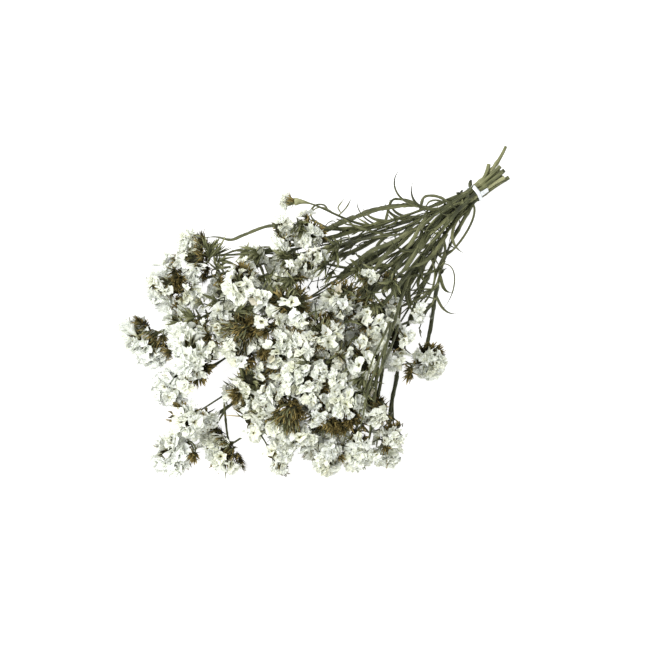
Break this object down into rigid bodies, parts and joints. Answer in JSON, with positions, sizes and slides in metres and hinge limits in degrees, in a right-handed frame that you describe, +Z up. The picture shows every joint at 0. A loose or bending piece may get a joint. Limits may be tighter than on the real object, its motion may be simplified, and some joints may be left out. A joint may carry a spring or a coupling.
{
  "type": "dried flower bunch",
  "caption": "Tied bunch of dried white statice lying on a table, its winged olive stems fanning out from a plastic band to combs of papery white florets with brown bracts.",
  "frame": {"origin": "centre of the bounding box's bottom face, on the table that the bunch lies on", "axes": "+X along the bunch from the flower heads to the cut ends, +Y across the fan of heads, +Z up from the table"},
  "size_m": [0.4944, 0.3188, 0.1131],
  "materials": {
    "florets": "matt, dry and papery",
    "stems": "matt, dried olive green",
    "tie": "smooth white plastic film"
  },
  "bodies": {
    "root": {"head_01_1": "florets", "head_01_2": "florets", "head_01_3": "florets", "head_01_4": "florets", "head_02_1": "florets", "head_02_2": "florets", "head_02_3": "florets", "head_02_4": "florets", "head_03_1": "florets", "head_03_2": "florets", "head_03_3": "florets", "head_03_4": "florets", "head_04_1": "florets", "head_04_2": "florets", "head_04_3": "florets", "head_05_1": "florets", "head_05_2": "florets", "head_05_3": "florets", "head_05_4": "florets", "head_06_1": "florets", "head_06_2": "florets", "head_06_3": "florets", "head_07_1": "florets", "head_07_2": "florets", "head_07_3": "florets", "head_07_4": "florets", "head_08_1": "florets", "head_08_2": "florets", "head_08_3": "florets", "head_08_4": "florets", "head_09_1": "florets", "head_09_2": "florets", "head_09_3": "florets", "head_09_4": "florets", "head_10_1": "florets", "head_10_2": "florets", "head_10_3": "florets", "head_11_1": "florets", "head_11_2": "florets", "head_11_3": "florets", "head_11_4": "florets", "head_12_1": "florets", "head_12_2": "florets", "head_12_3": "florets", "head_12_4": "florets", "head_12_5": "florets", "head_12_6": "florets", "stem_01": "stems", "stem_02": "stems", "stem_03": "stems", "stem_04": "stems", "stem_05": "stems", "stem_06": "stems", "stem_07": "stems", "stem_08": "stems", "stem_09": "stems", "stem_10": "stems", "stem_11": "stems", "stem_12": "stems", "tie": "tie"}
  },
  "joints": []
}
